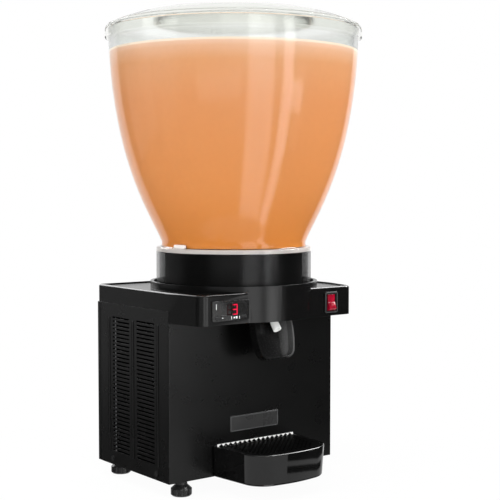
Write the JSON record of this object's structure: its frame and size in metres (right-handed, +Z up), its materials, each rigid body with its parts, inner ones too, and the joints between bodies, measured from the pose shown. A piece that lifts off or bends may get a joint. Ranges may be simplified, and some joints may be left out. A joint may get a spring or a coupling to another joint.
{
  "type": "juice dispenser",
  "caption": "Chilled juice dispenser: clear tapered bowl with lid on a black louvred cabinet, with thermostat, rocker switch, push tap and slide-out drip tray.",
  "frame": {"origin": "on the bowl's vertical axis, at the level of the surface that the feet stand on", "axes": "+X to the right seen from the front, -Y towards the front with the tap and the tray, +Z up"},
  "size_m": [0.374, 0.374, 0.685],
  "materials": {
    "zinc": "galvanised sheet steel",
    "black_paint": "black powder coat with a slight sheen",
    "screw_steel": "blackened screws",
    "foot_black": "moulded black plastic",
    "plate_black": "bare gloss black plate with a pale border",
    "cover_black": "glossy black moulding",
    "turret_black": "glossy black moulding",
    "control_black": "satin black plastic",
    "key_grey": "satin dark grey keys",
    "display_red": "dark red display window",
    "rocker_red": "lit red lens",
    "clear_plastic": "clear polycarbonate",
    "foam": "polyurethane foam",
    "stainless": "stainless steel",
    "copper": "bare copper pipe",
    "bronze": "sintered bronze",
    "white_rubber": "white food-grade silicone",
    "black_rubber": "black rubber",
    "white_plastic": "white plastic",
    "cast_aluminium": "bare aluminium",
    "motor_grey": "dark grey enamel"
  },
  "bodies": {
    "cabinet": {"base_pan": "zinc", "corner_posts": "zinc", "front_panel": "black_paint", "left_side_panel": "black_paint", "right_side_panel": "black_paint", "back_panel": "black_paint", "top_deck": "zinc", "panel_screws": "screw_steel", "foot_nuts": "zinc", "name_plate": "plate_black", "top_cover": "cover_black", "thermostat_housing": "control_black", "display_window": "display_red", "switch_housing": "control_black", "turret": "turret_black", "turret_insulation": "foam", "evaporator": "stainless", "evaporator_coil": "copper", "bowl_seal": "white_rubber", "shaft_bush": "bronze", "shaft_seal": "black_rubber", "gearbox": "cast_aluminium", "drive_motor": "motor_grey", "outlet_tube": "white_rubber", "tap_bracket": "zinc", "tap_pin": "stainless", "tap_spring": "stainless", "tray_hanger": "stainless", "compressor": "black_paint", "compressor_grommets": "black_rubber", "relay_box": "control_black", "condenser": "cast_aluminium", "fan_shroud": "control_black", "fan_bracket": "zinc", "fan_motor": "motor_grey", "filter_drier": "copper", "drier_clip": "zinc", "discharge_line": "copper", "liquid_line": "copper", "capillary_tube": "copper", "suction_line": "copper", "cable_gland": "foot_black", "terminal_block": "white_plastic"},
    "bowl_body": {"bowl": "clear_plastic"},
    "lid_body": {"lid": "clear_plastic"},
    "stirrer": {"drive_shaft": "stainless", "agitator": "white_plastic", "agitator_cap": "white_plastic"},
    "fan": {"fan_blade": "white_plastic"},
    "tap": {"tap_lever": "control_black"},
    "power_rocker": {"rocker": "rocker_red"},
    "key_left": {"set_key": "key_grey"},
    "key_right": {"arrow_key": "key_grey"},
    "tray": {"drip_tray": "cover_black"},
    "grille": {"drip_grille": "control_black"},
    "foot_fl": {"foot_front_left": "foot_black"},
    "foot_fr": {"foot_front_right": "foot_black"},
    "foot_rl": {"foot_rear_left": "foot_black"},
    "foot_rr": {"foot_rear_right": "foot_black"}
  },
  "joints": [
    {"name": "bowl_lift", "type": "slide", "parent": "cabinet", "child": "bowl_body", "axis": [0, 0, 1], "range_m": [0, 0.13]},
    {"name": "lid_lift", "type": "slide", "parent": "bowl_body", "child": "lid_body", "axis": [0, 0, 1], "range_m": [0, 0.15]},
    {"name": "stirrer_spin", "type": "hinge", "parent": "cabinet", "child": "stirrer", "pos_m": [0, 0, 0.4], "axis": [0, 0, 1], "continuous": true},
    {"name": "fan_spin", "type": "hinge", "parent": "cabinet", "child": "fan", "pos_m": [-0.1, 0.047, 0.1252], "axis": [1, 0, 0], "continuous": true},
    {"name": "tap_push", "type": "hinge", "parent": "cabinet", "child": "tap", "pos_m": [0, -0.0795, 0.256], "axis": [1, 0, 0], "range_deg": [0, 18], "stiffness_Nm_per_rad": 1.5, "springref_deg": -11.46, "deforming": ["tap_spring"]},
    {"name": "rocker_tilt", "type": "hinge", "parent": "cabinet", "child": "power_rocker", "pos_m": [0.094, -0.107, 0.2655], "axis": [1, 0, 0], "range_deg": [0, 24]},
    {"name": "set_key_press", "type": "slide", "parent": "cabinet", "child": "key_left", "axis": [0, 1, 0], "range_m": [0, 0.0006], "stiffness_N_per_m": 400},
    {"name": "arrow_key_press", "type": "slide", "parent": "cabinet", "child": "key_right", "axis": [0, 1, 0], "range_m": [0, 0.0006], "stiffness_N_per_m": 400},
    {"name": "tray_slide", "type": "slide", "parent": "cabinet", "child": "tray", "axis": [0, -1, 0], "range_m": [0, 0.1]},
    {"name": "grille_lift", "type": "slide", "parent": "tray", "child": "grille", "axis": [0, 0, 1], "range_m": [0, 0.06]},
    {"name": "foot_fl_turn", "type": "hinge", "parent": "cabinet", "child": "foot_fl", "pos_m": [-0.118, -0.0345, 0.01], "axis": [0, 0, 1], "continuous": true},
    {"name": "foot_fr_turn", "type": "hinge", "parent": "cabinet", "child": "foot_fr", "pos_m": [0.118, -0.0345, 0.01], "axis": [0, 0, 1], "continuous": true},
    {"name": "foot_rl_turn", "type": "hinge", "parent": "cabinet", "child": "foot_rl", "pos_m": [-0.118, 0.1285, 0.01], "axis": [0, 0, 1], "continuous": true},
    {"name": "foot_rr_turn", "type": "hinge", "parent": "cabinet", "child": "foot_rr", "pos_m": [0.118, 0.1285, 0.01], "axis": [0, 0, 1], "continuous": true}
  ]
}
